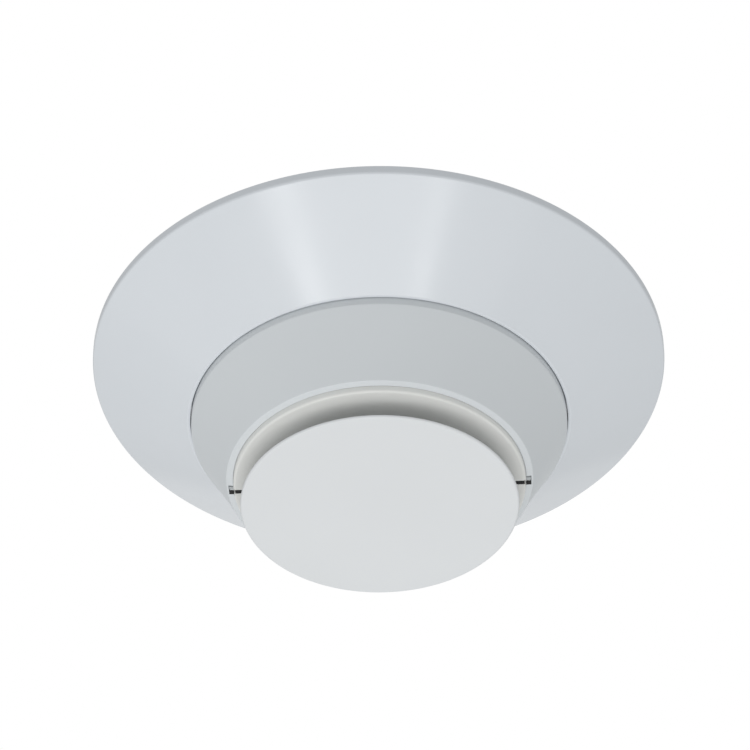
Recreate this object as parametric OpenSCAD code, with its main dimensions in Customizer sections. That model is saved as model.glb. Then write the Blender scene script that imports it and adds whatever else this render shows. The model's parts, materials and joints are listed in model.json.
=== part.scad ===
// Ceiling heat detector: trim skirt, twist-lock base and a plug-in head whose sensor hangs under a round disc.
// The origin is the centre of the ceiling face and +Z is up, so every piece lies below z = 0.
// A "drop" is a distance below the ceiling. Sizes are in millimetres.

/* [Trim skirt] */
// Outer radius of the skirt's rim
skirt_r = 86.5; // [80:0.5:104]
// Height of the upright band round the rim
skirt_band = 2.4; // [1.6:0.1:4]
// Wall thickness of the skirt
skirt_t = 2; // [1.6:0.1:2.6]
// Drop of the skirt's inner lip
skirt_drop = 23.6; // [19.6:0.2:28.4]
// Ribs behind the skirt
skirt_ribs = 8; // [4:1:12]

/* [Head shell] */
// Radius of the head's upright wall
head_r = 56.2; // [54:0.1:67.5]
// Running gap between the skirt's lip and the head
seam_gap = 0.5; // [0.4:0.05:1.2]
// How far the head's wall stands below the skirt's lip
shoulder_proud = 2.2; // [1:0.1:4]
// Height of the head's cone
cone_h = 19.8; // [16.5:0.1:24]
// Radius of the lip at the foot of the cone
lip_r = 45.3; // [37.7:0.1:46]
// How far the cone's side curves inward
cone_sag = 0.35; // [0:0.05:1]
// Wall thickness of the head shell
shell_t = 2; // [1.6:0.1:2.4]

/* [Sensor end] */
// How far the chamber floor stands below the lip
floor_proud = 2.2; // [1:0.1:3]
// Air gap between the chamber floor and the disc
air_gap = 6.4; // [5:0.1:9]
// Radius of the disc
disc_r = 41; // [34:0.5:49.5]
// Thickness of the disc
disc_t = 1.4; // [1.2:0.1:2.4]
// Radius of the posts that carry the disc
post_r = 2.4; // [2:0.1:3]
// Radius of the tube that guards the thermistor
guard_r = 3.3; // [2.8:0.1:4]

/* [Base] */
// Depth of the base from the ceiling
base_h = 14.2; // [13.2:0.1:17]
// Thickness of the base's floor
base_floor = 2.4; // [2:0.1:3]
// Wall thickness of the base
base_wall = 2.5; // [2:0.1:3]
// Radius of the wiring opening
wire_r = 22; // [18:0.5:26]
// Spacing of the box screws along X
box_screw_x = 86.1; // [80:0.1:88]
// Spacing of the box screws along Y
box_screw_y = 65; // [60:0.5:70]
// Width of the box screw slots
box_slot_w = 4.6; // [4:0.1:5]
// Length of the box screw slots
box_slot_l = 8; // [6:0.1:9]
// Turn that frees the head, in degrees
twist = 18; // [18:0.5:20]

/* [Lock lever] */
// Radius of the lever's pin
pin_r = 1.5; // [1.2:0.1:1.8]
// Running clearance round the pin
pin_gap = 0.06; // [0.03:0.01:0.1]

/* [Circuit board] */
// Thickness of the board
board_t = 1.6; // [1:0.1:2]
// Height of the room above the board
board_room = 9.7; // [9:0.1:12]
// Radius of the two supply capacitors
cap_r = 3.15; // [2.5:0.05:4]

/* [Hidden] */
$fn = 96;

WHITE = "#dcdfe1";
INNER_WHITE = "#d0d3d4";
BRASS = "#c9a24a";
STEEL = "#b4b7ba";
BOARD_GREEN = "#2f6b45";
BLACK = "#1d1e20";

// Clearance between pieces that only lie beside each other
side_gap = 0.3;
// Clearance of a screw or rivet in its hole
screw_gap = 0.1;
// Clearance of a blade in its slot
blade_gap = 0.15;
// Gap under a sliding contact and under a bayonet lug
slide_gap = 0.05;
lug_gap = 0.2;

// Base: radii from the wall inwards
base_r = head_r - 4.2;
cup_r = base_r - base_wall;
flange_r = base_r + 2.4;
ledge_r = cup_r - 3;
lug_r = cup_r - 0.5;
collar_t = 2;
collar_r = ledge_r - 1.5 - collar_t;
contact_r = cup_r - 12.5;

// Base: heights from its lower end upwards
ledge_t = 2;
ledge_drop = base_h - ledge_t;
ledge_low = base_h - 0.3;
lug_t = 2.2;
lug_drop = ledge_drop - lug_gap - lug_t;
collar_drop = lug_drop - 0.4;
tab_drop = collar_drop - 0.4;

// Bayonet: three lugs on three ledges
LUGS = 3;
lug_a = 90;
lug_span = 14;
ledge_span = 20;
stop_span = 2;
stop_play = 0.6;

// Terminals: four, each a contact on a pedestal
TERMINALS = 4;
terminal_a = 37;
pedestal_drop = 5;
metal_t = 0.8;
contact_w = 10;
contact_l = 12;
leaf_w = 6;
leaf_l = 8;
terminal_screw_y = 8.6;
terminal_screw_r = 1.7;
rivet_y = 14.1;
rivet_r = 0.8;
clamp_w = 7.4;
clamp_t = 1;
terminal_head_r = 3.2;
terminal_head_h = 1.7;

// Clips that carry the skirt on the base wall
CLIPS = 4;
clip_a = 45;
clip_span = 16;
clip_drop = 8;
clip_t = 2;
clip_reach = 2;

// Skirt
lip_in_r = head_r + seam_gap;
collar_wall = 1.8;
skirt_collar_r = lip_in_r + collar_wall;
skirt_collar_drop = clip_drop - clip_t - 0.5;
skirt_edge = 1;
skirt_lip_edge = 0.7;
skirt_land = 0.9;
rib_t = 1.2;

// Head shell
cover_gap = 1.3;
cover_t = 1.8;
cover_drop = base_h + cover_gap;
cover_low = cover_drop + cover_t;
shoulder_drop = skirt_drop + shoulder_proud;
lip_drop = shoulder_drop + cone_h;
wall_in_r = head_r - shell_t;
wall_across = shell_t * 1.15;
lip_w = 2.05;
lip_edge = 0.4;
lip_fall = 0.3;
open_r = lip_r - lip_w;
gasket_t = 1;
gasket_w = 2.1;
gasket_shelf_t = 1.6;
boss_ring_r = head_r - 7.8;
boss_r = 2.6;
boss_a = 30;
BOSSES = 3;
boss_l = 8;
small_screw_r = 1.1;
small_head_r = 2.1;
small_head_h = 1.3;
label_l = 34;
label_w = 20;
label_t = 0.25;

// Chamber floor
floor_drop = lip_drop + floor_proud;
floor_t = 2;
floor_r = open_r - 0.15;
floor_edge = 0.8;
floor_wall = 1.8;
flange_t = 1.8;
flange_low = lip_drop - 4.2;
flange_drop = flange_low - flange_t;
floor_flange_r = min(floor_r + 1.7, cone_in_r(flange_low) - 0.25);
snap_reach = 0.9;
snap_h = 1.5;
SNAPS = 3;
snap_a = 100;

// Disc
disc_drop = floor_drop + air_gap + disc_t;
disc_back = disc_drop - disc_t;
POSTS = 4;
disc_post_ring_r = floor_r - 15;
post_screw_l = 6;

// Board
board_drop = cover_low + board_room;
board_low = board_drop + board_t;
pipe_ring_r = lip_r - 1.45;
board_r = lip_r - 0.3;
board_post_ring_r = floor_r - 7;
board_post_r = 2.6;
board_post_a = 85;
BOARD_POSTS = 3;
rectifier_y = board_post_ring_r - 12.1;
blade_x = min(contact_r - 1.4, board_r - 4);
blade_w = 4;

// Light pipes and the notches they sit in
pipe_w = 1.6;
pipe_gap = 0.25;
pipe_off = 0.9;
pipe_low = lip_drop + lip_fall / 2;
pipe_chamfer = 0.3;
led_h = 1.6;
led_w = 2.6;
slot_w = 1.7;
slot_in_r = floor_r - 6;
notch_near = -0.5;
notch_far = 3.5;
notch_out_r = lip_r - 0.55;
baffle_in_r = open_r + 0.1;

// Thermistor
bead_r = 1.4;
bead_drop = floor_drop + 3;
lead_r = 0.25;
lead_off = 0.7;
guard_wall = 1;
guard_flange_r = guard_r + 1.3;
guard_boss_drop = floor_drop - 5.5;

// Lever: a hub on the pin, an arm along the collar and a tooth that enters the collar's windows
lever_a = 258;
lever_ring_r = contact_r - 1;
lever_hub_r = 3.2;
lever_top = base_floor + 0.4;
lever_low = base_h - 1.3;
lever_arm_t = 2.7;
tooth_a = 21;
tooth_w = 3;
tooth_r = collar_r - 0.5;
arm_r = collar_r - 2.8;
window_a = 20;
window_span = 8.4;

// ---- helpers ----

function unit(v) = v / norm(v);
function pol(r, a) = [r * cos(a), r * sin(a)];

// Round corner b between the points a and c
function fillet(a, b, c, r, n = 5) =
    let (u = unit(a - b), w = unit(c - b), turn = 180 - acos(u * w))
    let (reach = r * tan(turn / 2), middle = b + unit(u + w) * r / cos(turn / 2))
    let (from = b + u * reach - middle, to = b + w * reach - middle)
    [for (i = [0:n]) middle + (sin((1 - i / n) * turn) * from + sin(i / n * turn) * to) / sin(turn)];

// Outline through points [radius, drop, corner radius], with each corner rounded
function outline(p) = let (n = len(p))
    [for (i = [0:n - 1])
        let (a = p[(i + n - 1) % n], b = p[i], c = p[(i + 1) % n])
        each b[2] > 0
            ? fillet([a[0], -a[1]], [b[0], -b[1]], [c[0], -c[1]], b[2])
            : [[b[0], -b[1]]]];

// Radius of the head's cone at a drop, and of its inside
function cone_r(d) = let (t = (d - shoulder_drop) / cone_h)
    head_r + (lip_r - head_r) * t - cone_sag * 4 * t * (1 - t);
function cone_in_r(d) = cone_r(d) - wall_across;

// Solid of revolution from an outline
module turned(p) {
    rotate_extrude($fn = 180)
        polygon(outline(p));
}

// Round bar, ring and ring sector that reach from one drop to a lower one
module bar(r, top, low) {
    translate([0, 0, -low])
        cylinder(r = r, h = low - top);
}

module ring(r_in, r_out, top, low) {
    difference() {
        bar(r_out, top, low);
        bar(r_in, top - 1, low + 1);
    }
}

module sector(r_in, r_out, span, top, low) {
    rotate([0, 0, -span / 2])
        translate([0, 0, -low])
            rotate_extrude(angle = span, $fn = 96)
                translate([r_in, 0])
                    square([r_out - r_in, low - top]);
}

// Block from one drop to a lower one, centred on y
module block(x0, x1, w, top, low, y = 0) {
    translate([x0, y - w / 2, -low])
        cube([x1 - x0, w, low - top]);
}

module around(count, start = 0) {
    for (i = [0:count - 1])
        rotate([0, 0, start + i * 360 / count])
            children();
}

module at_ring(count, r, start = 0) {
    around(count, start)
        translate([r, 0, 0])
            children();
}

// Slot whose ends are round, along X
module slot_along_x(length, w, top, low) {
    half = (length - w) / 2;
    for (side = [-1, 1])
        translate([side * half, 0, 0])
            bar(w / 2, top, low);
    block(-half, half, w, top, low);
}

// Small pan-head screw from a seat upwards or downwards: head on the seat, cross in the head
module screw(shaft_r, length, head_r, head_h) {
    difference() {
        union() {
            translate([0, 0, -length])
                cylinder(r = shaft_r, h = length + 0.2);
            cylinder(r = head_r, h = head_h);
        }
        for (turn = [0, 90])
            rotate([0, 0, turn])
                translate([-head_r * 0.7, -0.25, head_h - 0.6])
                    cube([head_r * 1.4, 0.5, 1]);
    }
}

// ---- base ----

module trim_skirt() {
    slope_in = (skirt_drop - skirt_band) / (skirt_r - lip_in_r - skirt_land);
    rise = skirt_t * sqrt(1 + slope_in * slope_in);
    inner_join = skirt_drop - (collar_wall - skirt_land) * slope_in - rise;
    color(WHITE) {
        turned([
            [skirt_r, 0, 0.3],
            [skirt_r, skirt_band + skirt_edge * 0.4, skirt_edge],
            [lip_in_r + skirt_land, skirt_drop, skirt_lip_edge],
            [lip_in_r, skirt_drop, skirt_lip_edge * 0.4],
            [lip_in_r, skirt_collar_drop, 0.4],
            [skirt_collar_r, skirt_collar_drop, 0.4],
            [skirt_collar_r, inner_join, 0.6],
            [skirt_r - skirt_t, skirt_band + skirt_edge * 0.4 - (rise - skirt_t * slope_in), 0.3],
            [skirt_r - skirt_t, 0, 0.3]
        ]);
        around(CLIPS, clip_a) {
            sector(base_r + side_gap, lip_in_r + 0.6, clip_span, clip_drop - clip_t, clip_drop);
            sector(lip_in_r - 1, lip_in_r + 0.6, clip_span, clip_drop - clip_t, clip_drop + 3);
        }
        around(skirt_ribs, 180 / skirt_ribs)
            skirt_rib(inner_join, slope_in);
    }
}

// Upright rib between the skirt's collar and its cone
module skirt_rib(join, slope_in) {
    far = (skirt_r - skirt_collar_r) * 0.72;
    translate([skirt_collar_r - 0.6, rib_t / 2, -join - 0.8])
        rotate([90, 0, 0])
            linear_extrude(rib_t)
                polygon([[0, 0], [far, far * slope_in], [far, far * slope_in + 2], [0, join - clip_drop]]);
}

module base_plate() {
    color(INNER_WHITE)
    difference() {
        union() {
            bar(flange_r, 0, base_floor);
            ring(cup_r, base_r, base_floor - 0.5, base_h);
            ring(wire_r, wire_r + 1.6, base_floor - 0.5, base_floor + 2);
            around(CLIPS, clip_a)
                sector(base_r - 0.6, base_r + clip_reach, clip_span + 4, clip_drop, clip_drop + 1.8);
            around(LUGS, lug_a) {
                sector(ledge_r, cup_r + 0.6, ledge_span, ledge_drop, ledge_low);
                bayonet_stop(lug_span / 2 + stop_play);
                bayonet_stop(-(lug_span / 2 + stop_play + twist + stop_span));
            }
            around(TERMINALS, terminal_a)
                block(contact_r - contact_w / 2 - 0.8, contact_r + contact_w / 2 + 0.8,
                      contact_l + 0.8, base_floor - 0.5, pedestal_drop, leaf_l / 2 + contact_l / 2 + 0.8);
            around(TERMINALS, 20)
                floor_rib();
            around(TERMINALS, 70)
                floor_rib();
        }
        bar(wire_r, -1, base_floor + 3);
        for (side = [-1, 1]) {
            translate([side * box_screw_x / 2, 0, 0])
                slot_along_x(box_slot_l, box_slot_w, -1, base_floor + 1);
            translate([0, side * box_screw_y / 2, 0])
                rotate([0, 0, 90])
                    slot_along_x(box_slot_l, box_slot_w, -1, base_floor + 1);
        }
        around(TERMINALS, terminal_a) {
            translate([contact_r, terminal_screw_y, 0])
                bar(terminal_screw_r + screw_gap, base_floor / 3, pedestal_drop + 1);
            translate([contact_r, rivet_y, 0])
                bar(rivet_r + screw_gap, base_floor / 3, pedestal_drop + 1);
        }
        rotate([0, 0, lever_a])
            translate([lever_ring_r, 0, 0])
                bar(pin_r + screw_gap / 2, base_floor / 3, base_floor + 1);
    }
}

// Low rib on the base's floor, from the wiring opening to the wall
module floor_rib() {
    block(wire_r + 0.8, cup_r + 0.8, rib_t, base_floor - 0.5, base_floor + 1.2);
}

// Stop that ends a lug's travel, starting at an angle from the middle of its ledge
module bayonet_stop(start) {
    rotate([0, 0, start + stop_span / 2])
        sector(ledge_r + 0.4, cup_r + 0.9, stop_span, lug_drop - 0.4, ledge_drop + 0.8);
}

module terminal_contacts() {
    leaf_low = tab_drop - slide_gap;
    color(BRASS)
    around(TERMINALS, terminal_a)
        difference() {
            union() {
                block(contact_r - contact_w / 2, contact_r + contact_w / 2, contact_l,
                      pedestal_drop, pedestal_drop + metal_t, leaf_l / 2 + contact_l / 2);
                block(contact_r - leaf_w / 2, contact_r + leaf_w / 2, metal_t,
                      pedestal_drop, leaf_low, leaf_l / 2 + metal_t / 2);
                block(contact_r - leaf_w / 2, contact_r + leaf_w / 2, leaf_l,
                      leaf_low - metal_t, leaf_low, metal_t / 2);
            }
            translate([contact_r, terminal_screw_y, 0])
                bar(terminal_screw_r + screw_gap, pedestal_drop - 1, pedestal_drop + 2);
            translate([contact_r, rivet_y, 0])
                bar(rivet_r + screw_gap, pedestal_drop - 1, pedestal_drop + 2);
        }
}

module clamp_plates() {
    seat = pedestal_drop + metal_t;
    color(STEEL)
    around(TERMINALS, terminal_a)
        difference() {
            block(contact_r - clamp_w / 2, contact_r + clamp_w / 2, clamp_w,
                  seat, seat + clamp_t, terminal_screw_y);
            translate([contact_r, terminal_screw_y, 0])
                bar(terminal_screw_r + screw_gap, seat - 1, seat + clamp_t + 1);
        }
}

module terminal_screws() {
    seat = pedestal_drop + metal_t + clamp_t;
    color(STEEL)
    around(TERMINALS, terminal_a)
        translate([contact_r, terminal_screw_y, -seat])
            mirror([0, 0, 1])
                screw(terminal_screw_r, seat - base_floor / 3 - 0.2, terminal_head_r, terminal_head_h);
}

module contact_rivets() {
    seat = pedestal_drop + metal_t;
    color(BRASS)
    around(TERMINALS, terminal_a)
        translate([contact_r, rivet_y, 0]) {
            bar(rivet_r, base_floor / 3 + 0.2, seat + 0.3);
            bar(rivet_r + 0.6, seat, seat + 0.6);
        }
}

module lock_lever() {
    arm_top = lever_low - lever_arm_t;
    color("#e8e6dc")
    rotate([0, 0, lever_a])
        difference() {
            union() {
                translate([lever_ring_r, 0, 0])
                    bar(lever_hub_r, lever_top, lever_low);
                translate([0, 0, -lever_low])
                    linear_extrude(lever_arm_t)
                        polygon([
                            pol(lever_ring_r - 2.2, -9), pol(lever_ring_r + 2.2, -9),
                            pol(lever_ring_r + 2.6, 2), pol(arm_r, 15), pol(arm_r, 24),
                            pol(arm_r - 2.4, 24), pol(lever_ring_r - 2.6, 3)
                        ]);
                rotate([0, 0, tooth_a])
                    block(arm_r - 1, tooth_r, tooth_w, arm_top, lever_low);
            }
            translate([lever_ring_r, 0, 0])
                bar(pin_r + pin_gap, lever_top - 1, lever_low + 1);
        }
}

module lever_pin() {
    color(STEEL)
    rotate([0, 0, lever_a])
        translate([lever_ring_r, 0, 0]) {
            bar(pin_r, base_floor / 3 + 0.2, lever_low + 0.6);
            bar(pin_r + 1.1, lever_low + lug_gap, lever_low + lug_gap + 0.8);
        }
}

// ---- head ----

module rear_cover() {
    color(INNER_WHITE)
    difference() {
        union() {
            bar(wall_in_r - lug_gap, cover_drop, cover_low);
            ring(collar_r, collar_r + collar_t, collar_drop, cover_drop + 0.5);
            around(LUGS, lug_a)
                sector(collar_r + collar_t - 0.6, lug_r, lug_span, lug_drop, lug_drop + lug_t);
            around(LUGS, lug_a)
                sector(collar_r + collar_t - 0.6, collar_r + collar_t + 0.7, lug_span / 2,
                       lug_drop + 1, cover_drop + 0.5);
            at_ring(BOSSES, boss_ring_r, boss_a)
                bar(boss_r, cover_low - 0.5, cover_low + gasket_t);
        }
        for (turn = [0, twist])
            rotate([0, 0, lever_a + window_a + turn])
                sector(collar_r - 1, collar_r + collar_t + 1, window_span, collar_drop - 1, cover_drop - 0.8);
        around(TERMINALS, terminal_a)
            block(blade_x - blade_gap, blade_x + metal_t + blade_gap, blade_w + 2 * blade_gap,
                  cover_drop - 1, cover_low + 1);
        at_ring(BOSSES, boss_ring_r, boss_a) {
            bar(small_head_r + 0.2, cover_drop - 1, cover_drop + small_head_h);
            bar(small_screw_r + screw_gap, cover_drop - 1, cover_low + gasket_t + 1);
        }
        translate([-label_l / 2 - lug_gap, -label_w / 2 - lug_gap, -cover_drop - label_t])
            cube([label_l + 2 * lug_gap, label_w + 2 * lug_gap, 1]);
    }
}

module rating_label() {
    color("#f4f4f0")
    translate([-label_l / 2, -label_w / 2, -cover_drop - label_t])
        cube([label_l, label_w, label_t]);
}

module cover_screws() {
    color(STEEL)
    at_ring(BOSSES, boss_ring_r, boss_a)
        translate([0, 0, -cover_drop - small_head_h])
            screw(small_screw_r, boss_l - 1.5, small_head_r, small_head_h - 0.1);
}

module contact_blades() {
    color(BRASS)
    around(TERMINALS, terminal_a) {
        block(min(contact_r - leaf_w / 2, blade_x), contact_r + leaf_w / 2, 7, tab_drop, tab_drop + metal_t);
        block(blade_x, blade_x + metal_t, blade_w, tab_drop + metal_t / 2, board_drop);
    }
}

module cover_gasket() {
    color(BLACK)
    ring(wall_in_r - side_gap - gasket_w, wall_in_r - side_gap, cover_low, cover_low + gasket_t);
}

module head_shell() {
    shelf_drop = cover_low + gasket_t;
    steps = 6;
    color(WHITE)
    difference() {
        union() {
            turned(concat(
                [[wall_in_r, cover_drop, 0.4], [head_r, cover_drop, 0.4], [head_r, shoulder_drop, 0.8]],
                [for (i = [1:steps - 1]) let (d = shoulder_drop + cone_h * i / steps) [cone_r(d), d, 0]],
                [[lip_r, lip_drop, lip_edge], [open_r, lip_drop + lip_fall, lip_edge * 0.6],
                 [open_r, flange_low, 0],
                 [cone_in_r(flange_low) + 0.1, flange_low, 0]],
                [for (i = [steps - 1:-1:1]) let (d = shoulder_drop + (flange_low - shoulder_drop) * i / steps)
                    [cone_in_r(d), d, 0]],
                [[wall_in_r, shoulder_drop - 1, 0.6]]
            ));
            ring(wall_in_r - gasket_w - 1, wall_in_r + 0.5, shelf_drop, shelf_drop + gasket_shelf_t);
            at_ring(BOSSES, boss_ring_r, boss_a) {
                bar(boss_r, shelf_drop, shelf_drop + boss_l);
                block(boss_r - 0.6, head_r - boss_ring_r - 1, 2, shelf_drop, shelf_drop + boss_l * 0.6);
            }
            around(SNAPS, snap_a)
                sector(floor_flange_r - snap_reach, cone_in_r(flange_drop - 0.1) + 0.9, 9,
                       flange_drop - 0.1 - snap_h, flange_drop - 0.1);
        }
        at_ring(BOSSES, boss_ring_r, boss_a)
            bar(small_screw_r, shelf_drop - 1, shelf_drop + boss_l - 1.5);
        for (side = [0, 1])
            mirror([side, 0, 0])
                light_notch();
    }
}

// Notch for one light pipe and the baffle beside it, on the +X side
module light_notch() {
    block(open_r - 1, notch_out_r, notch_far - notch_near, flange_low - 1, lip_drop + 3,
          (notch_near + notch_far) / 2);
}

module chamber_floor() {
    color(WHITE)
    difference() {
        union() {
            turned([
                [0, floor_drop - floor_t, 0], [floor_r - floor_wall, floor_drop - floor_t, 0.5],
                [floor_r - floor_wall, flange_drop, 0], [floor_flange_r, flange_drop, 0.3],
                [floor_flange_r, flange_low, 0], [floor_r, flange_low, 0],
                [floor_r, floor_drop, floor_edge], [0, floor_drop, 0]
            ]);
            at_ring(BOARD_POSTS, board_post_ring_r, board_post_a)
                bar(board_post_r, board_low, floor_drop - floor_t / 2);
            bar(guard_r + 2.4, guard_boss_drop, floor_drop - floor_t / 2);
            around(BOARD_POSTS, board_post_a)
                block(guard_r + 1.5, floor_r - 1, rib_t, floor_drop - floor_t - 2, floor_drop - floor_t / 2);
        }
        bar(guard_r + screw_gap / 2, guard_boss_drop - 1, floor_drop + 1);
        at_ring(BOARD_POSTS, board_post_ring_r, board_post_a)
            bar(small_screw_r, board_low - 1, board_low + 8);
        at_ring(POSTS, disc_post_ring_r, 45)
            bar(small_screw_r + screw_gap, floor_drop - floor_t - 1, floor_drop + 1);
        for (side = [0, 1])
            mirror([side, 0, 0]) {
                pipe_room();
                block(slot_in_r, floor_r + 0.1, slot_w, floor_drop - floor_t - 0.6, floor_drop + 1);
            }
    }
}

// Room for one light pipe through the floor's flange and wall, on the +X side
module pipe_room() {
    block(pipe_ring_r - pipe_w / 2 - pipe_gap, floor_flange_r + 1, pipe_w + 2 * pipe_gap,
          flange_drop - 1, floor_drop + 1, pipe_off);
}

module light_pipe() {
    x0 = pipe_ring_r - pipe_w / 2;
    x1 = pipe_ring_r + pipe_w / 2;
    color("#eef1f2") {
        difference() {
            block(x0, x1, pipe_w, board_low + led_h + side_gap, pipe_low, pipe_off);
            translate([x1, pipe_off - pipe_w, -pipe_low])
                rotate([0, 45, 0])
                    translate([-pipe_chamfer / 2, 0, -pipe_chamfer / 2])
                        cube([pipe_chamfer, pipe_w * 2, pipe_chamfer]);
        }
        block(x0 - 0.6, x1 + 0.2, pipe_w + 1.4, flange_drop - 1.1, flange_drop - 0.1, pipe_off);
    }
}

module light_pipe_right() {
    light_pipe();
}

module light_pipe_left() {
    mirror([1, 0, 0])
        light_pipe();
}

// Black inserts that keep the pipes' light out of the chamber: one in each notch, one in each floor slot
module light_baffles() {
    floor_piece_r = pipe_ring_r - pipe_w / 2 - pipe_gap - 0.1;
    color(BLACK)
    for (side = [0, 1])
        mirror([side, 0, 0]) {
            block(baffle_in_r, notch_out_r, notch_far - pipe_off - pipe_w / 2 - side_gap / 4,
                  flange_low, lip_drop + lip_fall / 2,
                  (notch_far + pipe_off + pipe_w / 2 + side_gap / 4) / 2);
            block(slot_in_r, floor_piece_r, slot_w, floor_drop - floor_t, floor_drop - 0.1);
        }
}

module status_leds() {
    color("#f0ece0")
    for (side = [0, 1])
        mirror([side, 0, 0])
            block(pipe_ring_r - pipe_w / 2, pipe_ring_r + pipe_w / 2 - 0.2, led_w,
                  board_low, board_low + led_h, pipe_off);
}

module circuit_board() {
    color(BOARD_GREEN)
    difference() {
        bar(board_r, board_drop, board_low);
        at_ring(BOARD_POSTS, board_post_ring_r, board_post_a)
            bar(small_screw_r + screw_gap, board_drop - 1, board_low + 1);
        for (x = [-22, 22])
            translate([x, 22, 0])
                bar(1.6, board_drop - 1, board_low + 1);
    }
}

module board_screws() {
    color(STEEL)
    at_ring(BOARD_POSTS, board_post_ring_r, board_post_a)
        translate([0, 0, -board_drop])
            screw(small_screw_r - 0.02, board_t + 6, small_head_r, small_head_h);
}

// Row of pins along X or Y at one side of a chip
module chip_pins(count, pitch, w, reach, top, low) {
    for (i = [0:count - 1])
        translate([(i - (count - 1) / 2) * pitch - w / 2, -reach, -low])
            cube([w, reach * 2, low - top]);
}

module processor_chip() {
    side = 9;
    color(BLACK)
    translate([11, -10, 0]) {
        block(-side / 2, side / 2, side, board_low + 0.15, board_low + 1.5);
        around(4)
            translate([0, side / 2, 0])
                chip_pins(10, 0.8, 0.35, 1, board_low, board_low + 0.4);
    }
}

module memory_chip() {
    color(BLACK)
    translate([-10, -16, 0]) {
        block(-2.6, 2.6, 4, board_drop - 1.5, board_drop - 0.15);
        for (turn = [0, 180])
            rotate([0, 0, turn])
                translate([0, 2, 0])
                    chip_pins(4, 1.27, 0.45, 1, board_drop - 0.4, board_drop);
    }
}

module capacitors() {
    color("#3a3f4a")
    for (place = [[-14, 12], [-22, 6]])
        translate([place[0], place[1], 0])
            turned([
                [0, board_drop - 7.6, 0], [cap_r, board_drop - 7.6, 0.4],
                [cap_r, board_drop - 1.6, 0], [cap_r - 0.25, board_drop - 1.3, 0],
                [cap_r, board_drop - 1, 0], [cap_r, board_drop, 0], [0, board_drop, 0]
            ]);
}

module choke_coil() {
    color("#4a4034")
    translate([14, 14, 0])
        turned([
            [0, board_drop - 5, 0], [4.2, board_drop - 5, 0.3], [4.2, board_drop - 4, 0],
            [3.1, board_drop - 4, 0], [3.1, board_drop - 1, 0], [4.2, board_drop - 1, 0],
            [4.2, board_drop, 0], [0, board_drop, 0]
        ]);
}

module bridge_rectifier() {
    color(BLACK)
    translate([1, rectifier_y, 0]) {
        block(-3.2, 3.2, 5, board_drop - 2.4, board_drop - 0.15);
        for (turn = [0, 180])
            rotate([0, 0, turn])
                translate([0, 2.5, 0])
                    chip_pins(2, 4, 0.9, 1, board_drop - 0.4, board_drop);
    }
}

module chip_parts() {
    color("#6b5a48") {
        for (row = [0:2])
            for (column = [0:3])
                translate([4 + column * 4, -24 + row * 3, 0])
                    block(-1, 1, 1.2, board_drop - 0.6, board_drop);
        for (row = [0:2])
            for (column = [0:1])
                translate([-14 + column * 4, -4 + row * 4, 0])
                    block(-1, 1, 1.2, board_low, board_low + 0.9);
    }
}

module test_header() {
    pins = 5;
    pitch = 2;
    color(BLACK)
    translate([26, 0, 0]) {
        block(-1, 1, pins * pitch, board_drop - 2, board_drop);
        for (i = [0:pins - 1])
            translate([0, (i - (pins - 1) / 2) * pitch, 0])
                block(-0.25, 0.25, 0.5, board_drop - 6, board_drop - 1.5);
    }
}

module thermistor() {
    color("#2a2c2e") {
        for (side = [-1, 1])
            translate([side * lead_off, 0, 0])
                bar(lead_r, board_low, bead_drop);
        translate([0, 0, -bead_drop])
            sphere(r = bead_r);
    }
}

module thermistor_guard() {
    color("#e9e7e0")
    difference() {
        union() {
            bar(guard_r, guard_boss_drop - 1, floor_drop + 1.2);
            bar(guard_flange_r, guard_boss_drop - 1, guard_boss_drop);
        }
        bar(guard_r - guard_wall, guard_boss_drop - 2, floor_drop + 2);
    }
}

module cap_disc() {
    edge_r = disc_t / 2;
    land = 0.05;
    color(WHITE)
    difference() {
        union() {
            turned([
                [0, disc_back, 0], [disc_r - 1.8, disc_back, 0], [disc_r, disc_drop - edge_r - land, 0],
                [disc_r, disc_drop, edge_r], [0, disc_drop, 0]
            ]);
            at_ring(POSTS, disc_post_ring_r, 45)
                bar(post_r, floor_drop, disc_back + disc_t / 2);
        }
        at_ring(POSTS, disc_post_ring_r, 45)
            bar(small_screw_r, floor_drop - 1, floor_drop + post_screw_l - 1);
    }
}

module disc_screws() {
    seat = floor_drop - floor_t;
    color(STEEL)
    at_ring(POSTS, disc_post_ring_r, 45)
        translate([0, 0, -seat])
            screw(small_screw_r - 0.02, floor_t + post_screw_l - 2, small_head_r, small_head_h);
}

trim_skirt();
base_plate();
terminal_contacts();
terminal_screws();
clamp_plates();
contact_rivets();
lock_lever();
lever_pin();
rear_cover();
cover_screws();
rating_label();
contact_blades();
cover_gasket();
head_shell();
circuit_board();
board_screws();
processor_chip();
memory_chip();
capacitors();
choke_coil();
bridge_rectifier();
chip_parts();
test_header();
status_leds();
light_pipe_left();
light_pipe_right();
light_baffles();
chamber_floor();
thermistor();
thermistor_guard();
cap_disc();
disc_screws();
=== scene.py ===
"""Ceiling heat detector: a wide trim skirt, a twist-lock base and a plug-in head with a disc under it.

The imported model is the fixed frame. The mouldings that show are modelled here, and every other piece
keeps its shape and gets its finish.
"""

import json
import math

import bmesh
import bpy
from bpy.props import FloatProperty, FloatVectorProperty, IntProperty, PointerProperty
from mathutils import Matrix, Vector

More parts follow.
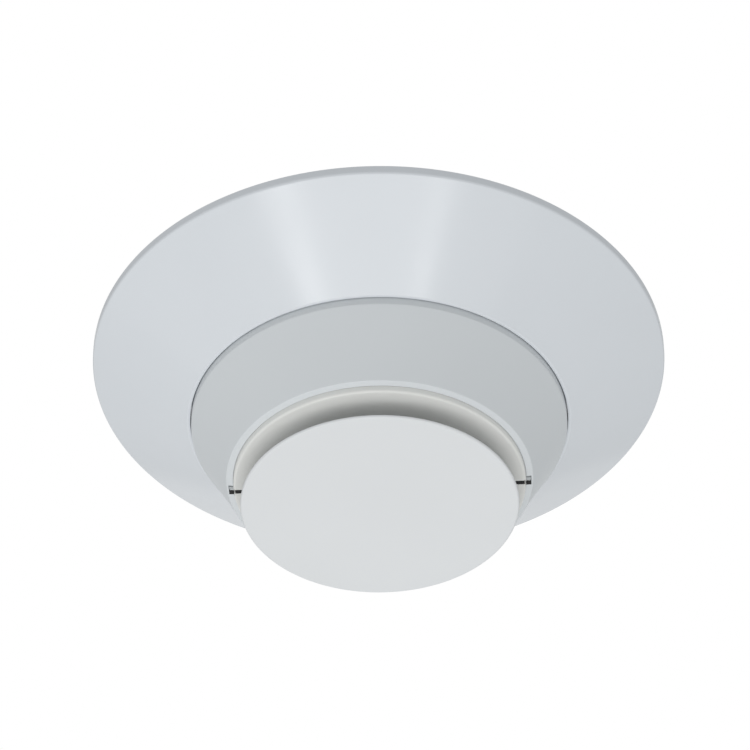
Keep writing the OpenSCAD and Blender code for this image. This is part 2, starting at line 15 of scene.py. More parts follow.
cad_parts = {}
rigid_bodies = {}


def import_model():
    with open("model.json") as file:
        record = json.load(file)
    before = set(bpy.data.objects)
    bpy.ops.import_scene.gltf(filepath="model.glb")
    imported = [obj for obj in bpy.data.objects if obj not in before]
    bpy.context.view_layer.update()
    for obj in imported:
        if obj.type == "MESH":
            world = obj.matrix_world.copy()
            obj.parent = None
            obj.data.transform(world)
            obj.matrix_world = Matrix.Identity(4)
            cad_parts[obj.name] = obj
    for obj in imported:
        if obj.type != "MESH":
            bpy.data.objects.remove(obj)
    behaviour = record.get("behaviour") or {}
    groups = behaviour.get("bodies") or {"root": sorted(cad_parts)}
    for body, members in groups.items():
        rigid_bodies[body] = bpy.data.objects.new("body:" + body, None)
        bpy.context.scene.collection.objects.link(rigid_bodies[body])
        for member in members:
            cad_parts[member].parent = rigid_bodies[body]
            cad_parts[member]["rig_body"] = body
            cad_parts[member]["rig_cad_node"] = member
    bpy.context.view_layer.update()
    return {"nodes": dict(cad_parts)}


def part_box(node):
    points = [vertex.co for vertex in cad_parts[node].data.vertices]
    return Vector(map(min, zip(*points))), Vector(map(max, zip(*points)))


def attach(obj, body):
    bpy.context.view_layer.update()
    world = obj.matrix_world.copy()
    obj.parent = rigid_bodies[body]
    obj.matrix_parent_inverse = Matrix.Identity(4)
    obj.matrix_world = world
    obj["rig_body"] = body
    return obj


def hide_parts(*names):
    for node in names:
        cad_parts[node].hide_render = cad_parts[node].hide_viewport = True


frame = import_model()

bl_info = {
    "name": "Ceiling heat detector",
    "version": (1, 0, 0),
    "blender": (4, 5, 0),
    "location": "View3D > Sidebar > Detector",
    "description": "Builds a ceiling heat detector around its packed frame",
    "category": "Add Mesh",
}

MM = 0.001
NEAR = 1e-6  # metres within which two places count as one
SMOOTH_ANGLE = math.radians(28)


def linear(code):
    """Linear colour with alpha from an sRGB hex code."""
    parts = [int(code[i:i + 2], 16) / 255 for i in (1, 3, 5)]
    return tuple(c / 12.92 if c <= 0.04045 else ((c + 0.055) / 1.055) ** 2.4 for c in parts) + (1,)


def colour(name, about, code):
    """A colour property."""
    return FloatVectorProperty(name=name, description=about, default=linear(code), size=4,
                               subtype="COLOR", min=0, max=1)


def length(name, about, value):
    """A length property, given in millimetres and kept in metres."""
    return FloatProperty(name=name, description=about, default=value * MM, min=0,
                         unit="LENGTH", precision=4)


def drop_of(node):
    """(highest, lowest) drop of a node below the ceiling, in metres."""
    low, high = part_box(node)
    return -high.z, -low.z


def reach_of(node):
    """Largest radius of a round node."""
    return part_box(node)[1].x


# ---- settings ----


class SkirtSettings(bpy.types.PropertyGroup):
    """Sizes of the trim skirt."""

    radius: length("Rim radius", "Outer radius of the rim", reach_of("trim_skirt") / MM)
    lowest: length("Drop", "Drop of the inner lip", drop_of("trim_skirt")[1] / MM)
    band: length("Band", "Height of the upright band round the rim", 2.8)
    wall: length("Wall", "Wall thickness", 2)
    seam: length("Seam", "Gap between the lip and the head", 0.3)
    collar: length("Collar", "Wall of the collar behind the lip", 1.8)
    collar_drop: length("Collar top", "Drop at which the collar starts", 5.5)
    land: length("Land", "Flat width of the lip's lower end", 0.9)
    ribs: IntProperty(name="Ribs", description="Ribs behind the skirt", default=8, min=4, max=12)
    rib_width: length("Rib width", "Thickness of a rib", 1.2)
    clip_reach: length("Clip reach", "Radius that the clips reach in to", 52.3)


class HeadSettings(bpy.types.PropertyGroup):
    """Sizes of the head shell, the chamber floor and the disc."""

    radius: length("Head radius", "Radius of the upright wall", reach_of("head_shell") / MM)
    wall: length("Wall", "Wall thickness of the shell", 2)
    shoulder: length("Shoulder", "Drop at which the cone starts", 25.8)
    lip_drop: length("Lip drop", "Drop at which the cone ends", 45.6)
    lip_radius: length("Lip radius", "Radius of the cone's foot", 45.3)
    lip_width: length("Lip width", "Width of the lip's lower end", 2.05)
    lip_depth: length("Lip depth", "Height of the mouth inside the lip", 4.2)
    sag: length("Sag", "How far the cone's side curves inward", 0.35)
    floor_radius: length("Floor radius", "Radius of the chamber floor", 43.2)
    floor_edge: length("Floor edge", "Round of the chamber floor's edge", 0.8)
    flange: length("Flange", "Thickness of the chamber floor's flange", 1.8)
    board_ring: length("Board ring", "Radius on which the board's posts stand", 36.1)
    shelf: length("Gasket shelf", "Drop of the shelf under the gasket", 18.3)
    boss_ring: length("Boss ring", "Radius on which the bosses under the shelf stand", 48.4)
    boss: length("Boss", "Radius of a screw boss or a board post", 2.6)
    screw_hole: length("Screw hole", "Radius of the holes that the screws bite into", 1.1)
    disc_wall: length("Disc thickness", "Thickness of the disc", 1.4)
    disc_edge: length("Disc edge", "Round of the disc's edge", 0.7)
    post: length("Disc post", "Radius of a disc post", 2.4)
    post_ring: length("Post ring", "Radius on which the disc posts stand", 28.1)
    notch_width: length("Notch width", "Width of a lip notch", 4)
    notch_far: length("Notch end", "Where a lip notch ends, along Y", 3.5)
    notch_reach: length("Notch reach", "Radius of a lip notch's outer wall", 44.75)


class ColourSettings(bpy.types.PropertyGroup):
    """Colours of the materials."""

    skirt: colour("Skirt", "Gloss white of the trim skirt", "#e5e9ee")
    head: colour("Head", "Satin white of the head shell", "#e2e6e9")
    # The chamber floor's white is lighter than the head's: painted light that lifts the shade under the disc.
    floor: colour("Chamber floor", "Satin white of the chamber floor", "#f0f0ed")
    disc: colour("Disc", "Matt white of the disc", "#e7e9eb")
    base: colour("Base", "White of the base and the rear cover", "#e3e3df")
    lever: colour("Lever", "Natural acetal of the lever", "#ece8da")
    board: colour("Board", "Solder mask of the board", "#1f6a3c")


class StageSettings(bpy.types.PropertyGroup):
    """Camera, floor and lights."""

    distance: FloatProperty(name="Camera distance", description="From the origin to the camera",
                            default=1.1, min=0.3, unit="LENGTH")
    elevation: FloatProperty(name="Camera elevation", description="Angle below the ceiling",
                             default=math.radians(41.16), subtype="ANGLE")
    azimuth: FloatProperty(name="Camera azimuth", description="Turn of the camera round the head",
                           default=math.radians(2.25), subtype="ANGLE")
    roll: FloatProperty(name="Camera roll", description="Tilt of the camera about its line of sight",
                        default=math.radians(0.45), subtype="ANGLE")
    lens: FloatProperty(name="Lens", description="Focal length on a 36 mm sensor",
                        default=174.3, min=20, unit="CAMERA")
    aim: FloatVectorProperty(name="Aim", description="Point that the camera looks at", size=3,
                             default=(-1.14 * MM, 0, -3.84 * MM), subtype="XYZ", unit="LENGTH")
    floor: FloatProperty(name="Floor", description="Drop of the floor below the ceiling",
                         default=1.6, min=1.3, unit="LENGTH")
    fill: FloatProperty(name="Fill light", description="Strength of the even light from all round",
                        default=0.5, min=0)


# ---- modelling helpers ----


def rest():
    """Leaves edit mode and deselects everything."""
    if bpy.context.object and bpy.context.object.mode != "OBJECT":
        bpy.ops.object.mode_set(mode="OBJECT")
    bpy.ops.object.select_all(action="DESELECT")


def activate(piece):
    """Makes one object the only selected and active one."""
    rest()
    piece.select_set(True)
    bpy.context.view_layer.objects.active = piece


def named(name):
    """The new primitive, named, with its place put into its mesh."""
    piece = bpy.context.object
    piece.name = piece.data.name = name
    bpy.ops.object.transform_apply(location=True, rotation=True, scale=True)
    return piece


def pick(kind, test):
    """In edit mode, selects only the edges or faces whose corners all pass the test."""
    modes = {"edges": "EDGE", "faces": "FACE"}
    bpy.ops.mesh.select_mode(type=modes[kind])
    bpy.ops.mesh.select_all(action="DESELECT")
    mesh = bmesh.from_edit_mesh(bpy.context.object.data)
    for part in getattr(mesh, kind):
        part.select_set(all(test(corner.co) for corner in part.verts))
    bmesh.update_edit_mesh(bpy.context.object.data)


def pick_border():
    """In edit mode, selects the open edges."""
    bpy.ops.mesh.select_mode(type="EDGE")
    bpy.ops.mesh.select_all(action="DESELECT")
    mesh = bmesh.from_edit_mesh(bpy.context.object.data)
    for edge in mesh.edges:
        edge.select_set(edge.is_boundary)
    bmesh.update_edit_mesh(bpy.context.object.data)


def bevel_reach(before, corner, after, radius):
    """How far along its sides a round of that radius starts at a corner of an outline."""
    back = Vector(before[:2]) - Vector(corner[:2])
    on = Vector(after[:2]) - Vector(corner[:2])
    return radius * math.tan((math.pi - back.angle(on)) / 2)


def turned(name, corners, around=288, solid=False, segments=5):
    """A moulding turned about the axis: a circle is drawn out from corner to corner of its outline, its
    ends are bridged, or filled if it is solid, and each corner with a round is bevelled.
    A corner is (radius, drop, round)."""
    rest()
    radius, drop = corners[0][:2]
    bpy.ops.mesh.primitive_circle_add(vertices=around, radius=radius, location=(0, 0, -drop))
    piece = named(name)
    bpy.ops.object.mode_set(mode="EDIT")
    bpy.ops.mesh.select_all(action="SELECT")
    for next_radius, next_drop, _ in corners[1:]:
        bpy.ops.mesh.extrude_edges_move()
        grow = next_radius / radius
        bpy.ops.transform.resize(value=(grow, grow, 1))
        bpy.ops.transform.translate(value=(0, 0, drop - next_drop))
        radius, drop = next_radius, next_drop
    pick_border()
    if solid:
        bpy.ops.mesh.edge_face_add()
    else:
        bpy.ops.mesh.bridge_edge_loops()
    bpy.ops.mesh.select_all(action="SELECT")
    bpy.ops.mesh.normals_make_consistent(inside=False)
    count = len(corners)
    for i, (radius, drop, rounding) in enumerate(corners):
        if not rounding:
            continue
        before, after = corners[i - 1], corners[(i + 1) % count]
        if solid and i == 0:
            before = (0, drop)
        if solid and i == count - 1:
            after = (0, drop)
        pick("edges", lambda co: abs(co.xy.length - radius) < NEAR and abs(co.z + drop) < NEAR)
        reach = bevel_reach(before, (radius, drop), after, rounding)
        bpy.ops.mesh.bevel(offset=reach, segments=segments, affect="EDGES")
    rest()
    return piece


def block(name, x, y, drop):
    """A block between two values of x, y and drop."""
    rest()
    middle = ((x[0] + x[1]) / 2, (y[0] + y[1]) / 2, -(drop[0] + drop[1]) / 2)
    size = (abs(x[1] - x[0]), abs(y[1] - y[0]), abs(drop[1] - drop[0]))
    bpy.ops.mesh.primitive_cube_add(size=1, location=middle, scale=size)
    return named(name)


def bar(name, radius, drop, place=(0, 0), sides=48):
    """A round bar between two drops."""
    rest()
    bpy.ops.mesh.primitive_cylinder_add(
        vertices=sides, radius=radius, depth=abs(drop[1] - drop[0]),
        location=(place[0], place[1], -(drop[0] + drop[1]) / 2))
    return named(name)


def sector(name, radii, drop, span):
    """A ring sector between two radii and two drops, centred on +X, spun from one upright face."""
    rest()
    bpy.ops.mesh.primitive_plane_add(size=1, rotation=(math.pi / 2, 0, 0))
    part = named(name)
    part.data.transform(Matrix.Diagonal((radii[1] - radii[0], 1, drop[1] - drop[0], 1)))
    part.data.transform(Matrix.Translation((sum(radii) / 2, 0, -sum(drop) / 2)))
    turn_about_axis(part, -span / 2)
    activate(part)
    bpy.ops.object.mode_set(mode="EDIT")
    bpy.ops.mesh.select_all(action="SELECT")
    bpy.ops.mesh.spin(steps=8, angle=span, center=(0, 0, 0), axis=(0, 0, 1))
    bpy.ops.mesh.select_all(action="SELECT")
    bpy.ops.mesh.remove_doubles(threshold=NEAR)
    bpy.ops.mesh.normals_make_consistent(inside=False)
    bpy.ops.object.mode_set(mode="OBJECT")
    return part


def turn_about_axis(piece, angle):
    """Turns a piece's mesh about the detector's axis."""
    piece.data.transform(Matrix.Rotation(angle, 4, "Z"))
    return piece


def mirrored(piece):
    """A copy of a piece mirrored across the YZ plane, with its faces still outward."""
    copy = piece.copy()
    copy.data = piece.data.copy()
    bpy.context.scene.collection.objects.link(copy)
    copy.data.transform(Matrix.Scale(-1, 4, (1, 0, 0)))
    copy.data.flip_normals()
    return copy


def spread(piece, count, start=0.0):
    """The piece and its copies, evenly spaced round the axis, each with its own mesh."""
    copies = [piece]
    for i in range(1, count):
        copy = piece.copy()
        copy.data = piece.data.copy()
        bpy.context.scene.collection.objects.link(copy)
        copies.append(copy)
    for i, copy in enumerate(copies):
        turn_about_axis(copy, math.radians(start) + i * math.tau / count)
    return copies


def joined(parts):
    """Several parts as one object."""
    rest()
    for part in parts:
        part.select_set(True)
    bpy.context.view_layer.objects.active = parts[0]
    bpy.ops.object.join()
    return parts[0]


def combine(piece, tool, operation):
    """Adds a tool's solids to a piece (UNION) or cuts them out of it (DIFFERENCE). The tool's own solids
    stand clear of each other."""
    activate(piece)
    change = piece.modifiers.new("shape", "BOOLEAN")
    change.operation = operation
    change.solver = "EXACT"
    change.object = tool
    bpy.ops.object.modifier_apply(modifier=change.name)
    bpy.data.objects.remove(tool)
    return piece


def finish_piece(piece, body, material, slot, *nodes):
    """Merges doubles, sets the shading and the material, and fixes the piece to its body."""
    activate(piece)
    bpy.ops.object.mode_set(mode="EDIT")
    bpy.ops.mesh.select_all(action="SELECT")
    bpy.ops.mesh.remove_doubles(threshold=NEAR)
    bpy.ops.mesh.dissolve_degenerate(threshold=NEAR)
    bpy.ops.mesh.delete_loose()
    bpy.ops.object.mode_set(mode="OBJECT")
    bpy.ops.object.shade_smooth_by_angle(angle=SMOOTH_ANGLE)
    weigh = piece.modifiers.new("even normals", "WEIGHTED_NORMAL")
    weigh.keep_sharp = True
    weigh.weight = 80
    bpy.ops.object.modifier_apply(modifier=weigh.name)
    piece.data.materials.clear()
    piece.data.materials.append(material)
    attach(piece, body)
    if nodes:
        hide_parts(*nodes)
    return piece


def softened(node, name, width):
    """A copy of a CAD node, its loose triangles merged and its edges broken as a mould or a die leaves
    them."""
    source = frame["nodes"][node]
    piece = source.copy()
    piece.data = source.data.copy()
    piece.name = piece.data.name = name
    piece.parent = None
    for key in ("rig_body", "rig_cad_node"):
        del piece[key]
    bpy.context.scene.collection.objects.link(piece)
    activate(piece)
    if piece.data.has_custom_normals:
        bpy.ops.mesh.customdata_custom_splitnormals_clear()
    bpy.ops.object.mode_set(mode="EDIT")
    bpy.ops.mesh.select_all(action="SELECT")
    bpy.ops.mesh.remove_doubles(threshold=2 * NEAR)
    bpy.ops.mesh.dissolve_limited(angle_limit=math.radians(0.2))
    bpy.ops.object.mode_set(mode="OBJECT")
    edge = piece.modifiers.new("broken edges", "BEVEL")
    edge.width = width
    edge.segments = 2
    edge.limit_method = "ANGLE"
    edge.angle_limit = math.radians(35)
    edge.use_clamp_overlap = True
    bpy.ops.object.modifier_apply(modifier=edge.name)
    return piece


def paint(node, material):
    """Gives a CAD node's own mesh a better material."""
    for slot in frame["nodes"][node].material_slots:
        slot.material = material


# ---- materials ----


def per_mm(size):
    """Texture scale for a pattern of that size in millimetres."""
    return 1 / (size * MM)


def add(tree, kind, values=None, **settings):
    """Adds a node. Settings are its own properties; values are numbers for its inputs or sockets to link."""
    node = tree.nodes.new("ShaderNode" + kind)
    for key, value in settings.items():
        setattr(node, key, value)
    for key, value in (values or {}).items():
        if isinstance(value, bpy.types.NodeSocket):
            tree.links.new(value, node.inputs[key])
        else:
            node.inputs[key].default_value = value
    return node


def begin(name, ior=1.5, **constants):
    """A new material: its node tree, its shader and its Object coordinates."""
    material = bpy.data.materials.new(name)
    material.use_nodes = True
    tree = material.node_tree
    shader = tree.nodes["Principled BSDF"]
    shader.inputs["IOR"].default_value = ior
    for key, value in constants.items():
        shader.inputs[key.replace("_", " ")].default_value = value
    return material, tree, shader, add(tree, "TexCoord").outputs["Object"]


def link_ends(tree, shader, shade, **ends):
    """Links a material's last nodes to its shader: its colour, and the roughness or bump if it has one."""
    tree.links.new(shade.outputs["Color"], shader.inputs["Base Color"])
    for key, socket in ends.items():
        tree.links.new(socket, shader.inputs[key])


def moulded_plastic(name, tint, roughness, grain, depth, ior=1.53):
    """Injection-moulded plastic: faint cloudy shade from the pigment, a roughness that drifts with the
    melt's flow, and the grain that the mould's surface left."""
    material, tree, shader, place = begin(name, ior)
    cloud = add(tree, "TexNoise", {"Vector": place, "Scale": per_mm(45), "Detail": 3})
    darker = tuple(c * 0.955 for c in tint[:3]) + (1,)
    shade = add(tree, "MixRGB", {"Fac": cloud.outputs["Fac"], "Color1": darker, "Color2": tint})
    flow = add(tree, "TexNoise", {"Vector": place, "Scale": per_mm(14), "Detail": 4, "Distortion": 0.6})
    gloss = add(tree, "MapRange", {"Value": flow.outputs["Fac"], "From Min": 0.3, "From Max": 0.7,
                                   "To Min": roughness * 0.88, "To Max": roughness * 1.12})
    pores = add(tree, "TexNoise", {"Vector": place, "Scale": per_mm(grain), "Detail": 3})
    bump = add(tree, "Bump", {"Height": pores.outputs["Fac"], "Distance": depth * MM, "Strength": 1})
    link_ends(tree, shader, shade, Roughness=gloss.outputs["Result"], Normal=bump.outputs["Normal"])
    return material


def skirt_abs():
    """ABS, injection-moulded in a polished tool: clear streaks of light, with a very faint ripple."""
    return moulded_plastic("abs_polished_mould", bpy.context.scene.detector_colours.skirt, 0.2, 5, 0.004)


def head_abs():
    """ABS, injection-moulded in a fine spark-eroded tool: satin. The real grain is about 0.05 mm across and
    is drawn at 0.4 mm so that it shows."""
    return moulded_plastic("abs_spark_mould_satin", bpy.context.scene.detector_colours.head, 0.42, 0.4, 0.008)


def floor_abs_painted_light():
    """ABS, injection-moulded in the same grade of tool, in a lighter, slightly warmer white than the head
    shell: painted light that lifts the shade in the recess under the disc.
    """
    return moulded_plastic("abs_spark_mould_warm", bpy.context.scene.detector_colours.floor, 0.42, 0.4, 0.008)


def disc_abs():
    """ABS, injection-moulded in a matt spark-eroded tool: an even, soft white."""
    return moulded_plastic("abs_spark_mould_matt", bpy.context.scene.detector_colours.disc, 0.5, 0.4, 0.008)


def baffle_abs_painted_shade():
    """ABS with carbon black, injection-moulded: nearly black and dull. On the baffles it is painted shade:
    the slots beside the light pipes look dark through the baffles' colour.
    """
    return moulded_plastic("abs_black_moulded", linear("#151516"), 0.7, 0.5, 0.01)


def base_polycarbonate():
    """Polycarbonate, injection-moulded: slightly warmer and less finished, as nobody sees it in use."""
    return moulded_plastic("polycarbonate_moulded", bpy.context.scene.detector_colours.base, 0.38, 0.6, 0.012,
                           1.58)


def lever_acetal():
    """Acetal, injection-moulded: waxy cream."""
    return moulded_plastic("acetal_moulded", bpy.context.scene.detector_colours.lever, 0.34, 0.8, 0.006, 1.48)


def guard_nylon():
    """Nylon tube, extruded: milky, with fine lines along it."""
    material, tree, shader, place = begin("nylon_extruded", 1.53, Subsurface_Weight=0.1)
    lines = add(tree, "Mapping", {"Vector": place, "Scale": (1, 1, 0.05)})
    drawn = add(tree, "TexNoise", {"Vector": lines.outputs["Vector"], "Scale": per_mm(0.3), "Detail": 2})
    shade = add(tree, "MixRGB", {"Fac": drawn.outputs["Fac"], "Color1": linear("#d8d5ca"),
                                 "Color2": linear("#e6e4db")})
    bump = add(tree, "Bump", {"Height": drawn.outputs["Fac"], "Distance": 0.01 * MM, "Strength": 1})
    shader.inputs["Roughness"].default_value = 0.4
    link_ends(tree, shader, shade, Normal=bump.outputs["Normal"])
    return material


def sheet_metal(name, light, dark, roughness, spot, lines):
    """Plated or rolled metal: its crystals or rolling marks vary its colour and its shine."""
    material, tree, shader, place = begin(name, 1.5, Metallic=1.0)
    stretched = add(tree, "Mapping", {"Vector": place, "Scale": (1, lines, 1)})
    crystals = add(tree, "TexVoronoi", {"Vector": place, "Scale": per_mm(spot), "Randomness": 1})
    marks = add(tree, "TexNoise", {"Vector": stretched.outputs["Vector"], "Scale": per_mm(0.5), "Detail": 4})
    shade = add(tree, "MixRGB", {"Fac": crystals.outputs["Distance"], "Color1": linear(light),
                                 "Color2": linear(dark)})
    shine = add(tree, "MapRange", {"Value": marks.outputs["Fac"], "To Min": roughness * 0.75,
                                   "To Max": roughness * 1.3})
    bump = add(tree, "Bump", {"Height": marks.outputs["Fac"], "Distance": 0.004 * MM, "Strength": 1})
    link_ends(tree, shader, shade, Roughness=shine.outputs["Result"], Normal=bump.outputs["Normal"])
    return material


def contact_brass():
    """Brass strip, rolled and stamped: fine lines along the strip and a warm shine."""
    return sheet_metal("brass_rolled", "#d9b566", "#b98f45", 0.28, 2.5, 8)


def zinc_steel():
    """Steel, zinc-plated: cool grey with faint patches from the plating."""
    return sheet_metal("steel_zinc_plated", "#c9ccd0", "#9fa3a8", 0.32, 0.9, 1)


def gasket_foam():
    """Closed-cell rubber, cut from sheet: black and dull, with open cells at the cut."""
    material, tree, shader, place = begin("rubber_foam_cut", 1.5)
    cells = add(tree, "TexVoronoi", {"Vector": place, "Scale": per_mm(0.35)})
    shade = add(tree, "MixRGB", {"Fac": cells.outputs["Distance"], "Color1": linear("#16171a"),
                                 "Color2": linear("#2b2d30")})
    bump = add(tree, "Bump", {"Height": cells.outputs["Distance"], "Distance": 0.08 * MM, "Strength": 1})
    shader.inputs["Roughness"].default_value = 0.85
    link_ends(tree, shader, shade, Normal=bump.outputs["Normal"])
    return material


def label_film():
    """Polyester film, printed: white, with a plain grey frame and blank fields."""
    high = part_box("rating_label")[1]
    material, tree, shader, place = begin("polyester_film_printed", 1.55, Coat_Weight=0.3)
    sides = add(tree, "SeparateXYZ", {"Vector": place})
    along = add(tree, "Math", {0: sides.outputs["X"]}, operation="ABSOLUTE")
    across = add(tree, "Math", {0: sides.outputs["Y"]}, operation="ABSOLUTE")
    edge_x = add(tree, "Math", {0: along.outputs[0], 1: high.x - 1.2 * MM, 2: 0.2 * MM}, operation="COMPARE")
    edge_y = add(tree, "Math", {0: across.outputs[0], 1: high.y - 1.2 * MM, 2: 0.2 * MM}, operation="COMPARE")
    field = add(tree, "Math", {0: across.outputs[0], 1: high.y * 0.3, 2: 0.12 * MM}, operation="COMPARE")
    frame_line = add(tree, "Math", {0: edge_x.outputs[0], 1: edge_y.outputs[0]}, operation="MAXIMUM")
    lines = add(tree, "Math", {0: frame_line.outputs[0], 1: field.outputs[0]}, operation="MAXIMUM")
    fibres = add(tree, "TexNoise", {"Vector": place, "Scale": per_mm(3), "Detail": 3})
    shade = add(tree, "MixRGB", {"Fac": lines.outputs[0], "Color1": linear("#f2f1ec"),
                                 "Color2": linear("#8f9498")})
    shine = add(tree, "MapRange", {"Value": fibres.outputs["Fac"], "To Min": 0.3, "To Max": 0.42})
    link_ends(tree, shader, shade, Roughness=shine.outputs["Result"])
    return material


def board_laminate():
    """Glass-epoxy laminate under green solder mask: copper areas and tracks show as a lighter green, and the
    glass weave as a fine check."""
    tint = bpy.context.scene.detector_colours.board
    material, tree, shader, place = begin("glass_epoxy_masked", 1.55, Coat_Weight=0.4, Coat_Roughness=0.15)
    tracks = add(tree, "TexVoronoi", {"Vector": place, "Scale": per_mm(7)}, feature="DISTANCE_TO_EDGE",
                 voronoi_dimensions="2D")
    copper = add(tree, "Math", {0: tracks.outputs["Distance"], 1: 0.05}, operation="LESS_THAN")
    weave = add(tree, "TexChecker", {"Vector": place, "Scale": per_mm(0.8), "Color1": (1, 1, 1, 1),
                                     "Color2": (0.86, 0.86, 0.86, 1)})
    lighter = tuple(min(1, c * 1.9 + 0.01) for c in tint[:3]) + (1,)
    mask = add(tree, "MixRGB", {"Fac": copper.outputs[0], "Color1": tint, "Color2": lighter})
    shade = add(tree, "MixRGB", {"Fac": 1, "Color1": mask.outputs["Color"], "Color2": weave.outputs["Color"]},
                blend_type="MULTIPLY")
    bump = add(tree, "Bump", {"Height": copper.outputs[0], "Distance": 0.03 * MM, "Strength": 1})
    shader.inputs["Roughness"].default_value = 0.35
    link_ends(tree, shader, shade, Normal=bump.outputs["Normal"])
    return material


def speckled(name, light, dark, roughness, size, depth, **constants):
    """A cast, dipped or fired surface: two near shades in small spots, over a fine bump."""
    material, tree, shader, place = begin(name, 1.5, **constants)
    spots = add(tree, "TexNoise", {"Vector": place, "Scale": per_mm(size), "Detail": 4})
    shade = add(tree, "MixRGB", {"Fac": spots.outputs["Fac"], "Color1": linear(dark),
                                 "Color2": linear(light)})
    shine = add(tree, "MapRange", {"Value": spots.outputs["Fac"], "To Min": roughness * 0.85,
                                   "To Max": roughness * 1.15})
    bump = add(tree, "Bump", {"Height": spots.outputs["Fac"], "Distance": depth * MM, "Strength": 1})
    link_ends(tree, shader, shade, Roughness=shine.outputs["Result"], Normal=bump.outputs["Normal"])
    return material


def chip_epoxy():
    """Epoxy resin, transfer-moulded: near black, matt, with silica speckle."""
    return speckled("epoxy_transfer_moulded", "#2c2d30", "#17181a", 0.55, 0.25, 0.01)


def chip_ceramic():
    """Ceramic, fired: brown grey and dull."""
    return speckled("ceramic_fired", "#8a7259", "#5e4c3a", 0.45, 0.4, 0.01)


def capacitor_sleeve():
    """Aluminium can in a shrunk sleeve: dark blue grey with a soft gloss."""
    return speckled("aluminium_can_sleeved", "#454c5a", "#31363f", 0.3, 1.2, 0.01, Coat_Weight=0.4)


def coil_lacquer():
    """Ferrite wound with lacquered copper wire: the turns show as fine rings round it."""
    material, tree, shader, place = begin("copper_wire_lacquered", 1.5, Coat_Weight=0.6)
    turns = add(tree, "TexWave", {"Vector": place, "Scale": per_mm(1.9), "Distortion": 0.4},
                bands_direction="Z")
    shade = add(tree, "MixRGB", {"Fac": turns.outputs["Fac"], "Color1": linear("#4b2c18"),
                                 "Color2": linear("#a8632f")})
    bump = add(tree, "Bump", {"Height": turns.outputs["Fac"], "Distance": 0.1 * MM, "Strength": 1})
    shader.inputs["Roughness"].default_value = 0.32
    link_ends(tree, shader, shade, Normal=bump.outputs["Normal"])
    return material


def led_epoxy():
    """Clear epoxy over a pale reflector, cast: creamy and glossy."""
    return speckled("epoxy_cast_clear", "#f1ecd9", "#e2dbc2", 0.16, 1, 0.002, Coat_Weight=0.8)


def pipe_acrylic():
    """Acrylic, injection-moulded: milky clear, with bright edges."""
    return speckled("acrylic_moulded_clear", "#e9edef", "#dde2e5", 0.12, 3, 0.002,
                    Transmission_Weight=0.35)


def bead_epoxy():
    """Epoxy bead, dipped: black, wet-looking, with a slow ripple."""
    return speckled("epoxy_dipped", "#26282b", "#15171a", 0.2, 0.9, 0.02, Coat_Weight=0.5)


# ---- operators ----


class DETECTOR_OT_trim_skirt(bpy.types.Operator):
    """Trim skirt: one turned moulding with a collar, clips and ribs behind it"""

    bl_idname = "detector.trim_skirt"
    bl_label = "Trim skirt"

    def execute(self, context):
        size = context.scene.detector_skirt
        head = context.scene.detector_head
        lip = head.radius + size.seam
        collar = lip + size.collar
        slope = (size.lowest - size.band) / (size.radius - lip - size.land)
        rise = size.wall * math.sqrt(1 + slope * slope)
        inner_rim = size.radius - size.wall
        rim_drop = size.band - (rise - size.wall * slope)
        join = size.lowest - (size.collar - size.land) * slope - rise
        skirt = turned("skirt_moulding", [
            (size.radius, 0, 0.3 * MM), (size.radius, size.band, 1 * MM),
            (lip + size.land, size.lowest, 0.7 * MM), (lip, size.lowest, 0.25 * MM),
            (lip, size.collar_drop, 0.4 * MM), (collar, size.collar_drop, 0.4 * MM),
            (collar, join, 0.6 * MM), (inner_rim, rim_drop, 0.3 * MM), (inner_rim, 0, 0.3 * MM),
        ], around=360)
        extras = self.ribs(size, collar, join, slope) + self.clips(size, lip)
        combine(skirt, joined(extras), "UNION")
        finish_piece(skirt, "base", skirt_abs(), "skirt_plastic", "trim_skirt")
        return {"FINISHED"}

    def ribs(self, size, collar, join, slope):
        """Upright ribs between the collar and the cone: a block whose far end is drawn down with the cone."""
        far = (size.radius - collar) * 0.72
        half = size.rib_width / 2
        inner = collar - half
        top = 8 * MM
        low = join + 0.8 * MM
        rib = block("rib", (inner, inner + far), (-half, half), (top, low))
        bpy.ops.object.mode_set(mode="EDIT")
        pick("faces", lambda co: co.x > inner + far / 2)
        far_low = low - far * slope
        far_top = far_low - 2 * MM
        mesh = bmesh.from_edit_mesh(rib.data)
        for corner in mesh.verts:
            if corner.select:
                corner.co.z = -far_top if -corner.co.z < (top + low) / 2 else -far_low
        bmesh.update_edit_mesh(rib.data)
        bpy.ops.object.mode_set(mode="OBJECT")
        return spread(rib, size.ribs, 180 / size.ribs)

    def clips(self, size, lip):
        """Spring clips that hold the skirt on the base's wall, each with a foot on the collar."""
        outer = lip + 0.6 * MM
        top = size.collar_drop + 0.5 * MM
        span = math.radians(16)
        clip = sector("clip", (size.clip_reach, outer), (top, top + 2 * MM), span)
        foot = sector("foot", (lip - 1 * MM, outer), (top, top + 5 * MM), span)
        return spread(combine(clip, foot, "UNION"), 4, 45)


